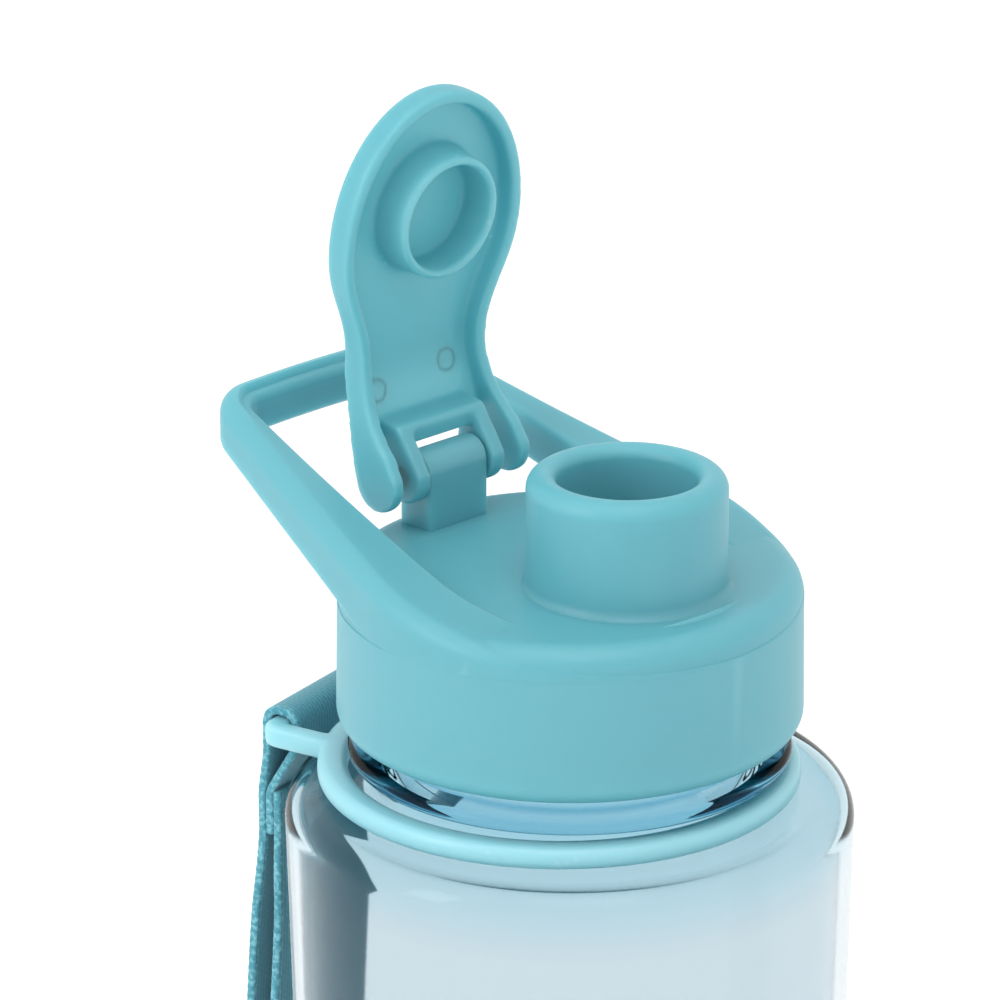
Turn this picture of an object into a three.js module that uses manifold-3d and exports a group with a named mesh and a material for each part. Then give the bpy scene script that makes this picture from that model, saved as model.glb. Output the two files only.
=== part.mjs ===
// Sports drinking bottle: clear screw-neck bottle, one-piece lid with a drinking spout and a loop
// handle, flip cap on a hinge pin, loose strap ring on the neck and a webbing wrist strap.
// Millimetres, +Z up. Origin: bottle axis at the resting plane. The spout is at the front (-Y),
// the hinge and the loop handle are at the back (+Y). The flip cap is drawn open, standing up.
import * as THREE from 'three';
import { mergeVertices } from 'three/addons/utils/BufferGeometryUtils.js';
import { LoftGeometry } from 'three/addons/geometries/LoftGeometry.js';
import Module from 'manifold-3d';

const wasm = await Module();
wasm.setup();

// ---------------------------------------------------------------- driving dimensions
const LID_Z = 188;              // lid's bottom edge above the resting plane
const FIT = 0.3;                // gap between pieces that rest on or in each other

// bottle
const BODY_R = 37;              // outside, just under the shoulder
const BODY_DRAFT = 1.1;         // degrees, narrower towards the base
const BODY_WALL = 1.9;
const SHOULDER_DROP = 8.7;      // flat of the shoulder below the lid's bottom edge
const SHOULDER_ROUND = 4.4;
const BASE_ROUND = 5;           // rounding where the wall meets the foot
const FOOT_WIDTH = 4.5;
const BASE_RECESS = 1;          // depth of the flat inside the foot ring
const NECK_R = 25.4;
const NECK_WALL = 2.2;
const NECK_BLEND = 0.9;         // where the neck meets the shoulder
const MOUTH_OUTER = 0.8;        // rounding of the mouth's outer edge
const MOUTH_INNER = 0.6;        // and of its inner edge
const BEAD_R = 28.8;            // bead that keeps the strap ring on the neck
const BEAD_DROP = 2.4;          // top of the bead below the lid's bottom edge
const BEAD_HEIGHT = 2.1;

// screw thread
const THREAD_PITCH = 5;
const THREAD_DEPTH = 1.4;
const THREAD_ROOT = 2;          // width of the ridge at the wall
const THREAD_CREST = 0.9;
const THREAD_TURNS = 1.5;
const THREAD_START = 5;         // first ridge on the neck above the lid's bottom edge
const THREAD_STEPS = 40;        // facets per turn
const THREAD_FADE = 0.1;        // turns over which an end runs out
const THREAD_SINK = 0.4;        // how deep the ridge is rooted in the wall
const THREAD_GAP = 0.55;        // crest of one thread to the wall of the other

// lid
const LID_R = 30.15;            // outside, at the bottom edge
const LID_DRAFT = 0.75;         // degrees, narrower towards the top
const LID_ROUND = 2.4;          // rounding of the bottom edge
const DECK_Z = 21;              // deck above the lid's bottom edge
const DECK_THICK = 2.4;
const DECK_ROUND = 3;           // rounding at the back of the deck
const DECK_CROWN = 0.5;
const BORE_CHAMFER = 0.8;       // lead-in at the bottom of the threaded bore
const SEAL_THICK = 1.6;
const SEAL_WIDTH = 3.4;
const SEAL_LAP = 0.3;           // seal's edge beyond the neck

// drinking spout
const SPOUT_R = 12.85;
const SPOUT_BORE = 9;
const SPOUT_TOP = 36.4;         // above the lid's bottom edge
const SPOUT_OFFSET = 10.1;      // towards the front
const SPOUT_RIM = 2.2;
const SPOUT_FILLET = 1.5;

// band round the lid and its loop handle
const BAND_LOWER = 16.6;        // lower edge of the band on the lid
const BAND_PROUD = 0.12;        // step from the skirt to the band
const BAND_UPPER = 23.1;        // outer top edge at the lid's middle plane
const BAND_SLOPE = 0.235;       // rise of the top edge per mm towards the back
const BAND_CURVE = 0.0011;      // and how it steepens
const BAND_ROUND = 2.4;         // rounding of its outer top edge
const INNER_ROUND = 1.3;        // and of its inner top edge
const BAND_CORNER = 0.6;        // chamfer of its lower edges
const CREST_RISE = 0.4;         // inner crest above the outer top edge beside the lid
const ARM_TURN = 14.5;           // degrees behind the middle plane where an arm leaves the lid
const ARM_FROM = 8;             // behind this the lower edge rises
const ARM_SLOPE = 0.346;
const HANDLE_END = 49.2;         // outer face of the end bar behind the bottle axis
const HANDLE_BOW = 240;         // radius of the bowed end bar
const HANDLE_CORNER = 6;
const BAR_THICK = 4.2;
const RECESS_HALF = 20.6;       // half width of the recess between the arms
const RECESS_TURN = 6.5;        // the inner edges close in less than the arms do
const RECESS_CORNER = 3;
const RECESS_CLEAR = 0.6;       // from the front of the spout to the recess's edge

// hinge
const HINGE_Y = 23.5;
const HINGE_Z = 28.7;           // above the lid's bottom edge
const POST_WIDTH = 10.4;
const BARREL_R = 2.9;           // round top of the hinge post, as thick as the post
const PIN_R = 1.1;

// flip cap, along it from the hinge axis to the tip
const OPEN_LEAN = 7;            // forward lean of the cap as it stands open, degrees
const CAP_LENGTH = 50;
const CAP_HALF = 15.5;          // half width at the widest
const CAP_WIDEST_AT = 31;
const CAP_WAIST = 11;           // half width between the hinge and the plug
const CAP_WAIST_AT = 13;
const CAP_FOOT = 12.2;          // half width at the ears
const CAP_PLATE = 1.4;
const CAP_RIM = 4.2;            // rim wall and plate together
const CAP_WALL = 1.8;
const CAP_ROUND = 1.2;          // rounding of the cap's back edge
const CAP_SLOPE = 0.41;         // forward slope of the back below the waist
const RIM_END = 16;             // the rim's edge is level down to here
const EAR_TOP = 9;              // and runs on as the ears from here
const EAR_RISE = 1.4;
const PLUG_R = 8.7;             // at the plate
const PLUG_TIP = 8.3;           // at the lip, so that it swings into the spout
const PLUG_WALL = 1.5;
const PLUG_DEPTH = 5.6;         // plug ring above the plate
const EAR_R = 3.8;              // round end of the ears about the hinge axis
const LUG_WALL = 2.3;
const LUG_R = 3.7;
const ROOF_THICK = 2.8;         // bar that joins the two lugs
const ROOF_FRONT = 0.8;         // its front face behind the hinge axis
const ROOF_CLEAR = 0.5;         // more than the fit, over the post's barrel

// strap ring and wrist strap
const RING_BORE = 27.4;
const RING_OUTER = 31.4;
const RING_THICK = 3;
const RING_ROUND = 1.2;
const RING_SHIFT = 1.6;         // the ring hangs off centre towards its tab
const TAB_TURN = 13.6;          // degrees from the handle's direction
const TAB_OUT = 1.4;            // outer face of the crossbar, from the ring's centre, beyond BODY_R
const TAB_BAR = 2.8;
const TAB_CORNER = 2.4;
const TAB_ROUND = 0.9;          // edges of the crossbar, so that the webbing turns on it
const STRAP_WIDTH = 20;
const STRAP_THICK = 1.2;
const STRAP_SLACK = 0.35;       // between the webbing and the crossbar
const STRAP_DROP = 150;         // from the crossbar to the bottom of the loop
const STRAP_OUT = 2;            // middle of the stitched overlap outwards of the crossbar
const STRAP_LEAN = 4.9;         // how much further out the bottom of the loop hangs
const LEAN_LENGTH = 110;
const EYE_DROP = 9;             // from the crossbar to the stitched overlap
const EYE_FLARE = 4;            // where the outer layer starts to lean out
const EYE_TURN = 2.2;           // and the inner layer
const EYE_ROUND = 1.5;          // outside bend over the crossbar
const OVERLAP = 7;              // stitched overlap of the webbing
const LOOP_OPEN = 2.6;          // gap between the two layers below the overlap
const LOOP_PARTED = 14;         // they have parted this far below it
const LOOP_END = 5;             // inner radius of the fold at the bottom
const LOOP_FLARE = 40;          // height over which the loop widens to its fold
const TACK_LENGTH = 15;         // bar tacks through the overlap
const TACK_WIDTH = 1.6;
const TACK_PROUD = 0.5;
const TACK_INSET = 1.7;         // middle of a tack from the end of the overlap

const ROUND = 48;               // facets round the bottle
const SPOUT_FACETS = 40;

// ---------------------------------------------------------------- helpers
const rad = THREE.MathUtils.degToRad;
const up = (x, y) => new THREE.Vector2(x, y);
const at = (x, y, z) => new THREE.Vector3(x, y, z);

// closed three.js geometry as a solid, faces outwards
function solid(geometry) {
  const bare = new THREE.BufferGeometry().copy(geometry);
  bare.deleteAttribute('normal');
  bare.deleteAttribute('uv');
  const merged = mergeVertices(bare, 1e-4);
  const corners = merged.index.array;
  const whole = [];
  for (let i = 0; i < corners.length; i += 3) {
    const [a, b, c] = corners.slice(i, i + 3);
    if (a !== b && b !== c && c !== a) whole.push(a, b, c);
  }
  const build = (triVerts) => new wasm.Manifold(new wasm.Mesh({
    numProp: 3,
    vertProperties: new Float32Array(merged.attributes.position.array),
    triVerts: new Uint32Array(triVerts),
  }));
  const first = build(whole);
  return first.volume() > 0 ? first : build(whole.reverse());
}

function piece(name, shape, material) {
  const mesh = shape.getMesh();
  const geometry = new THREE.BufferGeometry();
  geometry.setAttribute('position', new THREE.BufferAttribute(mesh.vertProperties, 3));
  geometry.setIndex(new THREE.BufferAttribute(mesh.triVerts, 1));
  geometry.computeVertexNormals();
  const object = new THREE.Mesh(geometry, material);
  object.name = name;
  return object;
}

const plastic = (color, roughness, opacity = 1) => new THREE.MeshStandardMaterial({
  color, roughness, metalness: 0, opacity, transparent: opacity < 1 });

// points of an arc in a profile or outline, angles in degrees
function arc(x, y, r, from, to, steps = 5) {
  return Array.from({ length: steps + 1 }, (_, i) => {
    const angle = rad(from + (to - from) * i / steps);
    return up(x + r * Math.cos(angle), y + r * Math.sin(angle));
  });
}

// turned solid from a profile of radius and height
function turned(profile, facets = ROUND) {
  const onAxis = profile[0].x === 0;
  const points = onAxis ? profile : [...profile, profile[0].clone()];
  return solid(new THREE.LatheGeometry(points, facets).rotateX(Math.PI / 2));
}

const prism = (shape, height) => new THREE.ExtrudeGeometry(shape,
  { depth: height, bevelEnabled: false, curveSegments: 12 });

const cylinder = (r, height, facets = 32) => new THREE.CylinderGeometry(r, r, height, facets)
  .rotateX(Math.PI / 2);

// closed outline from its right half, which starts on the middle line
const mirrored = (right) => [...right, ...right.slice(1).reverse().map((p) => up(-p.x, p.y))];

// thread ridge on a helix; `side` 1 stands out of a wall, -1 stands into a bore
function thread(wall, side, start) {
  const turns = THREAD_TURNS;
  const steps = Math.round(turns * THREAD_STEPS);
  const rings = Array.from({ length: steps + 1 }, (_, i) => {
    const turn = turns * i / steps;
    const fade = Math.min(1, turn / THREAD_FADE, (turns - turn) / THREAD_FADE);
    const angle = turn * Math.PI * 2;
    const height = start + turn * THREAD_PITCH;
    const corner = (depth, across) => at((wall + side * depth) * Math.cos(angle),
      (wall + side * depth) * Math.sin(angle), height + across);
    const tip = THREE.MathUtils.lerp(-THREAD_SINK / 2, THREAD_DEPTH, fade);
    const ring = [corner(-THREAD_SINK, -THREAD_ROOT / 2), corner(tip, -THREAD_CREST / 2),
      corner(tip, THREAD_CREST / 2), corner(-THREAD_SINK, THREAD_ROOT / 2)];
    return side > 0 ? ring.reverse() : ring;
  });
  return solid(new LoftGeometry(rings, { capStart: true, capEnd: true }));
}

// ---------------------------------------------------------------- bottle
const shoulderZ = LID_Z - SHOULDER_DROP;
const wallR = (z) => BODY_R - (shoulderZ - SHOULDER_ROUND - z) * Math.tan(rad(BODY_DRAFT));
const lidBore = NECK_R + THREAD_DEPTH + THREAD_GAP;
const sealZ = LID_Z + DECK_Z - DECK_THICK - FIT;      // top of the seal
const neckTop = sealZ - SEAL_THICK - FIT;

function bottleBody() {
  const footR = wallR(BASE_ROUND) - BASE_ROUND;
  const beadZ = LID_Z - BEAD_DROP - BEAD_HEIGHT / 2;
  const bead = BEAD_HEIGHT / 2;
  const outer = [
    up(0, BASE_RECESS), up(footR - FOOT_WIDTH, BASE_RECESS), up(footR - FOOT_WIDTH + 1, 0),
    ...arc(footR, BASE_ROUND, BASE_ROUND, -90, 0),
    ...arc(BODY_R - SHOULDER_ROUND, shoulderZ - SHOULDER_ROUND, SHOULDER_ROUND, 0, 90, 7),
    ...arc(NECK_R + NECK_BLEND, shoulderZ + NECK_BLEND, NECK_BLEND, -90, -180, 2),
    up(NECK_R, beadZ - bead), ...arc(BEAD_R - bead, beadZ, bead, -70, 70, 4),
    up(NECK_R, beadZ + bead + 0.6),
    ...arc(NECK_R - MOUTH_OUTER, neckTop - MOUTH_OUTER, MOUTH_OUTER, 0, 90, 3),
  ];
  const mouth = NECK_R - NECK_WALL;
  const inner = [
    ...arc(mouth + MOUTH_INNER, neckTop - MOUTH_INNER, MOUTH_INNER, 90, 180, 3),
    up(mouth, shoulderZ), up(mouth + 1, shoulderZ - BODY_WALL),
    ...arc(BODY_R - SHOULDER_ROUND, shoulderZ - SHOULDER_ROUND, SHOULDER_ROUND - BODY_WALL, 90, 0),
    ...arc(footR, BASE_ROUND, BASE_ROUND - BODY_WALL, 0, -90),
    up(footR - FOOT_WIDTH, BODY_WALL + 0.1), up(footR - FOOT_WIDTH - 2, BODY_WALL + BASE_RECESS),
    up(0, BODY_WALL + BASE_RECESS),
  ];
  const glass = turned([...outer, ...inner]);
  return glass.add(thread(NECK_R, 1, LID_Z + THREAD_START));
}

// ---------------------------------------------------------------- lid
const bandTop = (y) => BAND_UPPER + BAND_SLOPE * y + BAND_CURVE * y * y;
const bandLow = (y) => BAND_LOWER + Math.max(0, ARM_SLOPE * (y - ARM_FROM));
const lidSide = (z) => LID_R - Math.max(0, z - LID_ROUND) * Math.tan(rad(LID_DRAFT));
const bandR = lidSide(BAND_LOWER);
const recessNose = SPOUT_OFFSET + SPOUT_R + RECESS_CLEAR;

function skirtAndDeck() {
  return turned([
    up(0, 0),
    ...arc(LID_R - LID_ROUND, LID_ROUND, LID_ROUND, -90, 0),
    up(bandR, BAND_LOWER), up(bandR - BAND_PROUD, BAND_LOWER),
    ...arc(bandR - BAND_PROUD - DECK_ROUND, DECK_Z - DECK_ROUND, DECK_ROUND, 0, 90),
    up(SPOUT_R, DECK_Z + DECK_CROWN * 0.7), up(0, DECK_Z + DECK_CROWN),
  ]);
}

function lidCavity() {
  const roof = DECK_Z - DECK_THICK;
  return turned([up(0, -1), up(lidBore + BORE_CHAMFER, -1), up(lidBore + BORE_CHAMFER, 0),
    up(lidBore, BORE_CHAMFER),
    up(lidBore, roof), up(0, roof)]);
}

function spoutOuter() {
  const foot = DECK_Z - 1;
  return turned([
    up(0, foot), up(SPOUT_R + SPOUT_FILLET, foot),
    ...arc(SPOUT_R + SPOUT_FILLET, DECK_Z + SPOUT_FILLET, SPOUT_FILLET, -90, -180, 4),
    ...arc(SPOUT_R - SPOUT_RIM, SPOUT_TOP - SPOUT_RIM, SPOUT_RIM, 0, 90),
    up(0, SPOUT_TOP),
  ], SPOUT_FACETS).translate([0, -SPOUT_OFFSET, 0]);
}

function spoutBore() {
  const lip = SPOUT_R - SPOUT_RIM - SPOUT_BORE;
  return turned([
    up(0, DECK_Z - DECK_THICK - 1), up(SPOUT_BORE, DECK_Z - DECK_THICK - 1),
    ...arc(SPOUT_BORE + lip, SPOUT_TOP - lip, lip, 180, 90, 4),
    up(SPOUT_BORE + lip, SPOUT_TOP + 1), up(0, SPOUT_TOP + 1),
  ], SPOUT_FACETS).translate([0, -SPOUT_OFFSET, 0]);
}

// half of a loop seen from above, from the front round to the middle of the end bar: the front
// curve, a straight arm that closes in, a corner and half of the bowed end bar
function halfLoop(front, turn, corner, bowR) {
  const bowY = HANDLE_END - HANDLE_BOW;
  const leave = front(turn);
  const along = up(-Math.sin(rad(turn)), Math.cos(rad(turn)));
  const inward = up(-along.y, along.x);
  const start = leave.clone().addScaledVector(inward, corner);
  const toBow = up(0, bowY).sub(start);
  const reach = toBow.dot(along) + Math.sqrt((bowR - corner) ** 2 - toBow.dot(inward) ** 2);
  const centre = start.clone().addScaledVector(along, reach);
  const armEnd = centre.clone().addScaledVector(inward, -corner);
  const bowAngle = THREE.MathUtils.radToDeg(Math.atan2(centre.y - bowY, centre.x));
  const round = Array.from({ length: 20 }, (_, i) => front(-90 + (90 + turn) * i / 20));
  const arm = Array.from({ length: 7 }, (_, i) => leave.clone().lerp(armEnd, i / 7));
  return [...round, ...arm, ...arc(centre.x, centre.y, corner, turn, bowAngle, 5),
    ...arc(0, bowY, bowR, bowAngle, 90, 3).slice(1)];
}

function band() {
  const r = INNER_ROUND;
  const outer = halfLoop((a) => up(bandR * Math.cos(rad(a)), bandR * Math.sin(rad(a))),
    ARM_TURN, HANDLE_CORNER, HANDLE_BOW);
  const inner = halfLoop((a) => up(RECESS_HALF * Math.cos(rad(a)),
    (a < 0 ? recessNose : RECESS_HALF) * Math.sin(rad(a))),
  RECESS_TURN, RECESS_CORNER, HANDLE_BOW - BAR_THICK);
  const section = (out, inn) => {
    const top = bandTop(out.y);
    const low = bandLow(out.y);
    const edge = Math.min(BAND_ROUND, (top - low) / 2);
    const corner = Math.min(BAND_CORNER, (top - low) / 4);
    const front = THREE.MathUtils.clamp(-inn.y / recessNose, 0, 1);
    const crest = THREE.MathUtils.lerp(bandTop(inn.y) + CREST_RISE, DECK_Z + DECK_CROWN,
      front ** 3);
    const wide = out.distanceTo(inn);
    const to = (inset, z) => at(THREE.MathUtils.lerp(out.x, inn.x, inset / wide),
      THREE.MathUtils.lerp(out.y, inn.y, inset / wide), z);
    return [to(corner, low), to(0, low + corner), to(0, top - edge),
      to(0.13 * edge, top - 0.5 * edge), to(0.5 * edge, top - 0.13 * edge), to(edge, top),
      to(wide - r, crest), to(wide - 0.3 * r, crest - 0.3 * r), to(wide, crest - r),
      to(wide, low + corner), to(wide - corner, low)];
  };
  const right = outer.map((point, i) => section(point, inner[i]));
  const left = right.slice(1, -1).reverse().map((ring) => ring.map((p) => at(-p.x, p.y, p.z)));
  return solid(new LoftGeometry([...right, ...left, right[0]]));
}

function hingePost() {
  const foot = DECK_Z - 1;
  const side = new THREE.Shape([
    up(HINGE_Y - BARREL_R, foot), up(HINGE_Y + BARREL_R, foot),
    ...arc(HINGE_Y, HINGE_Z, BARREL_R, 0, 180, 12),
  ]);
  return across(side, POST_WIDTH);
}

// solid of a shape drawn in the YZ plane, centred on x = 0
function across(shape, width) {
  return solid(prism(shape, width).rotateX(Math.PI / 2).rotateZ(Math.PI / 2)
    .translate(-width / 2, 0, 0));
}

const hingeAxle = (r, length) => solid(new THREE.CylinderGeometry(r, r, length, 24)
  .rotateZ(Math.PI / 2).translate(0, HINGE_Y, HINGE_Z));

function lidShell() {
  return skirtAndDeck()
    .add(band())
    .add(spoutOuter())
    .add(hingePost())
    .subtract(lidCavity())
    .subtract(spoutBore())
    .subtract(hingeAxle(PIN_R + FIT, POST_WIDTH + 2))
    .add(thread(lidBore, -1, THREAD_START - THREAD_PITCH / 2))
    .translate([0, 0, LID_Z]);
}

function lidSeal() {
  const outer = NECK_R + SEAL_LAP;
  return turned([up(outer - SEAL_WIDTH, 0), up(outer, 0), up(outer, SEAL_THICK),
    up(outer - SEAL_WIDTH, SEAL_THICK)]).translate([0, 0, sealZ - SEAL_THICK]);
}

// ---------------------------------------------------------------- flip cap
// drawn lying flat: x across, y from the hinge axis to the tip, z from its back to its inside
const plugReach = HINGE_Y + SPOUT_OFFSET;
const plateZ = -(SPOUT_TOP - HINGE_Z + FIT);          // inside of the plate
const capBack = plateZ - CAP_PLATE;
const capFront = capBack + CAP_RIM;
const lugInner = POST_WIDTH / 2 + FIT;
const lugOuter = lugInner + LUG_WALL;
const roofY = BARREL_R + FIT + ROOF_CLEAR;
const earInner = CAP_FOOT - CAP_WALL;
const slopeTop = CAP_WAIST_AT;                        // below this the back slopes to the ears
const roofBack = capBack + (slopeTop - roofY) * CAP_SLOPE;

function capOutline(inset, bottom) {
  const half = CAP_HALF - inset;
  const nose = Array.from({ length: 13 }, (_, i) => up(half * Math.sin(rad(7.5 * i)),
    CAP_WIDEST_AT + (CAP_LENGTH - inset - CAP_WIDEST_AT) * Math.cos(rad(7.5 * i))));
  const waist = new THREE.CubicBezierCurve(nose[12], up(half, CAP_WIDEST_AT - 8),
    up(CAP_WAIST - inset, CAP_WAIST_AT + 8), up(CAP_WAIST - inset, CAP_WAIST_AT)).getPoints(8);
  const hip = new THREE.CubicBezierCurve(waist[8], up(CAP_WAIST - inset, CAP_WAIST_AT - 5),
    up(CAP_FOOT - inset, 5), up(CAP_FOOT - inset, 0)).getPoints(4);
  const right = [...nose, ...waist.slice(1), ...hip.slice(1), up(CAP_FOOT - inset, bottom)];
  return new THREE.Shape(mirrored(right));
}

// shape drawn in the YZ plane of the flat cap
const capAcross = (points, from, to) => solid(prism(new THREE.Shape(points), to - from)
  .rotateX(Math.PI / 2).rotateZ(Math.PI / 2).translate(from, 0, 0));

function flipCap() {
  const r = CAP_ROUND;
  const block = solid(new THREE.ExtrudeGeometry(capOutline(r, -EAR_R - 3), { depth: 20,
    bevelEnabled: true, bevelSize: r, bevelThickness: r, bevelSegments: 3 })
    .translate(0, 0, capBack + r));
  const side = capAcross([up(CAP_LENGTH + 1, capBack - 1), up(CAP_LENGTH + 1, capFront),
    up(RIM_END, capFront), up(EAR_TOP, capFront + EAR_RISE), ...arc(0, 0, EAR_R, 70, 245, 9),
    up(slopeTop, capBack), up(slopeTop, capBack - 1)], -CAP_HALF - 1, CAP_HALF + 1);
  const pocket = solid(prism(capOutline(CAP_WALL, -EAR_R - 4), 30).translate(0, 0, plateZ));
  const gap = solid(new THREE.BoxGeometry(2 * earInner - 0.6, roofY + EAR_R + 4, 40)
    .translate(0, (roofY - EAR_R - 4) / 2, 0));
  const slope = capAcross([up(slopeTop, capBack + 0.05), up(slopeTop - 1.5, plateZ),
    up(roofY, roofBack + CAP_PLATE), up(roofY, roofBack)], 0.3 - earInner, earInner - 0.3);
  const roof = capAcross([up(roofY, -ROOF_FRONT), up(roofY + ROOF_THICK, -ROOF_FRONT),
    up(roofY + ROOF_THICK, roofBack - 0.4), up(roofY, roofBack + 0.1)], -lugOuter, lugOuter);
  const lugSide = [...arc(0, 0, LUG_R, 90, 270, 10).map((p) => up(p.y, -p.x)),
    up(roofY + ROOF_THICK, -LUG_R), up(roofY + ROOF_THICK, -ROOF_FRONT)];
  const lugs = capAcross(lugSide, lugInner, lugOuter).add(capAcross(lugSide, -lugOuter, -lugInner));
  const plug = turned([
    up(PLUG_R - PLUG_WALL, plateZ - 0.5), up(PLUG_R, plateZ - 0.5), up(PLUG_R, plateZ),
    up(PLUG_TIP, plateZ + PLUG_DEPTH - 0.5), up(PLUG_TIP - 0.4, plateZ + PLUG_DEPTH),
    up(PLUG_TIP - PLUG_WALL + 0.3, plateZ + PLUG_DEPTH),
    up(PLUG_TIP - PLUG_WALL, plateZ + PLUG_DEPTH - 0.4),
  ], SPOUT_FACETS).translate([0, plugReach, 0]);
  const flat = block.intersect(side).subtract(pocket).subtract(gap)
    .add(slope).add(roof).add(lugs).add(plug);
  return flat.rotate([90 + OPEN_LEAN, 0, 0]).translate([0, HINGE_Y, HINGE_Z])
    .subtract(hingeAxle(PIN_R + FIT, 2 * lugOuter + 1))
    .translate([0, 0, LID_Z]);
}

const hingePin = () => hingeAxle(PIN_R, 2 * lugOuter - 0.4).translate([0, 0, LID_Z]);

// ---------------------------------------------------------------- strap ring and strap
// drawn with the tab towards +Y, then turned about the bottle axis
const ringZ = shoulderZ + FIT;
const tabReach = BODY_R + TAB_OUT;
const barY = tabReach - TAB_BAR / 2;
const slotHalf = STRAP_WIDTH / 2 + FIT;
const hung = (shape) => shape.translate([0, RING_SHIFT, 0]).rotate([0, 0, TAB_TURN]);

function strapRing() {
  const e = RING_ROUND;
  const ring = turned([
    ...arc(RING_OUTER - e, RING_THICK - e, e, 0, 90, 2),
    ...arc(RING_BORE + e, RING_THICK - e, e, 90, 180, 2),
    ...arc(RING_BORE + e, e, e, 180, 270, 2), ...arc(RING_OUTER - e, e, e, 270, 360, 2)]);
  const half = slotHalf + TAB_BAR;
  const plate = solid(prism(new THREE.Shape(mirrored([up(0, 0), up(half, 0),
    ...arc(half - TAB_CORNER, tabReach - TAB_CORNER, TAB_CORNER, 0, 90)])), RING_THICK));
  const window = solid(new THREE.BoxGeometry(2 * slotHalf, tabReach + 1, 20)
    .translate(0, (tabReach + 1) / 2, 0));
  const round = TAB_ROUND;
  const [inner, outer] = [tabReach - TAB_BAR + round, tabReach - round];
  const crossbar = across(new THREE.Shape([
    ...arc(outer, RING_THICK - round, round, 0, 90, 3), ...arc(inner, RING_THICK - round, round, 90, 180, 3),
    ...arc(inner, round, round, 180, 270, 3), ...arc(outer, round, round, 270, 360, 3)]),
  2 * (half - TAB_CORNER));
  const bore = solid(cylinder(RING_BORE, 20, ROUND));
  return hung(ring.add(plate.subtract(window)).add(crossbar).subtract(bore)
    .translate([0, 0, ringZ]));
}

// middle line of the hanging loop and half the gap between its two layers at a height
const overlapEnd = EYE_DROP + OVERLAP;
const hangAt = (z) => STRAP_OUT + STRAP_LEAN
  * Math.sin(Math.PI / 2 * THREE.MathUtils.clamp((-z - overlapEnd) / LEAN_LENGTH, 0, 1));
const openAt = (z) => THREE.MathUtils.lerp(
  THREE.MathUtils.lerp(STRAP_THICK, LOOP_OPEN,
    THREE.MathUtils.smoothstep(-z, overlapEnd, overlapEnd + LOOP_PARTED)) / 2,
  LOOP_END, THREE.MathUtils.smoothstep(-z, STRAP_DROP - LOOP_FLARE, STRAP_DROP - LOOP_END));

// side view of the webbing loop, y outwards and z up from the crossbar's centre: an eye round
// the crossbar, three layers stitched together and the loop folded over at the bottom
function strapSide() {
  const t = STRAP_THICK;
  const eye = TAB_BAR / 2 + STRAP_SLACK;
  const top = RING_THICK / 2 + STRAP_SLACK;
  const foldZ = LOOP_END + t - STRAP_DROP;
  const heights = Array.from({ length: 11 },
    (_, i) => THREE.MathUtils.lerp(foldZ, -overlapEnd, i / 10));
  const loop = (thick, from) => [
    ...arc(hangAt(foldZ), foldZ, LOOP_END + thick, -180, 0, 10).slice(1, -1),
    ...heights.map((z) => up(hangAt(z) + openAt(z) + thick, z)),
    ...from,
    ...heights.slice().reverse().map((z) => up(hangAt(z) - openAt(z) - thick, z)),
  ];
  const bend = t * Math.tan(Math.atan2(STRAP_OUT + t / 2 + eye, EYE_DROP - EYE_TURN) / 2);
  const shape = new THREE.Shape(loop(t, [
    up(STRAP_OUT + 1.5 * t, -EYE_DROP), up(eye + t, -EYE_FLARE),
    ...arc(eye + t - EYE_ROUND, top + t - EYE_ROUND, EYE_ROUND, 0, 90, 3),
    ...arc(EYE_ROUND - eye - t, top + t - EYE_ROUND, EYE_ROUND, 90, 180, 3),
    up(-eye - t, -EYE_TURN), up(STRAP_OUT - t / 2, -EYE_DROP), up(STRAP_OUT - 1.5 * t, -EYE_DROP),
  ]));
  shape.holes.push(new THREE.Path([up(eye, -EYE_FLARE), up(eye, top), up(-eye, top),
    up(-eye, bend - EYE_TURN), up(STRAP_OUT + 0.4 * t, t / 2 - EYE_DROP)]));
  shape.holes.push(new THREE.Path(loop(0, [])));
  return shape;
}

const barZ = ringZ + RING_THICK / 2;
const atBar = (shape) => hung(shape.translate([0, barY, barZ]));
const tackZ = [TACK_INSET - overlapEnd, -EYE_DROP - TACK_INSET];

// bar tack through the three layers; `grow` makes the opening it sits in
function tack(z, grow = 0) {
  const deep = 3 * STRAP_THICK + 2 * TACK_PROUD + (grow > 0 ? 2 : 0);
  return solid(new THREE.BoxGeometry(TACK_LENGTH + 2 * grow, deep, TACK_WIDTH + 2 * grow)
    .translate(0, STRAP_OUT, z));
}

const wristStrap = () => atBar(across(strapSide(), STRAP_WIDTH)
  .subtract(tack(tackZ[0], FIT)).subtract(tack(tackZ[1], FIT)));

// ---------------------------------------------------------------- assembly
const teal = plastic(0x6fb9c6, 0.42);
const clear = plastic(0xb9d6de, 0.08, 0.45);
const pale = plastic(0x9fd2de, 0.4);
const woven = plastic(0x4a93a4, 0.85);
const stitching = plastic(0x7fb9c6, 0.8);
const silicone = plastic(0xe6eceb, 0.6);
const steel = new THREE.MeshStandardMaterial({ color: 0xb9bdc0, roughness: 0.3, metalness: 1 });

const group = new THREE.Group();
group.add(
  piece('bottle_body', bottleBody(), clear),
  piece('lid_shell', lidShell(), teal),
  piece('lid_seal', lidSeal(), silicone),
  piece('flip_cap', flipCap(), teal),
  piece('hinge_pin', hingePin(), steel),
  piece('strap_ring', strapRing(), pale),
  piece('wrist_strap', wristStrap(), woven),
  piece('strap_tack_upper', atBar(tack(tackZ[1])), stitching),
  piece('strap_tack_lower', atBar(tack(tackZ[0])), stitching),
);

export default group;
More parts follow.
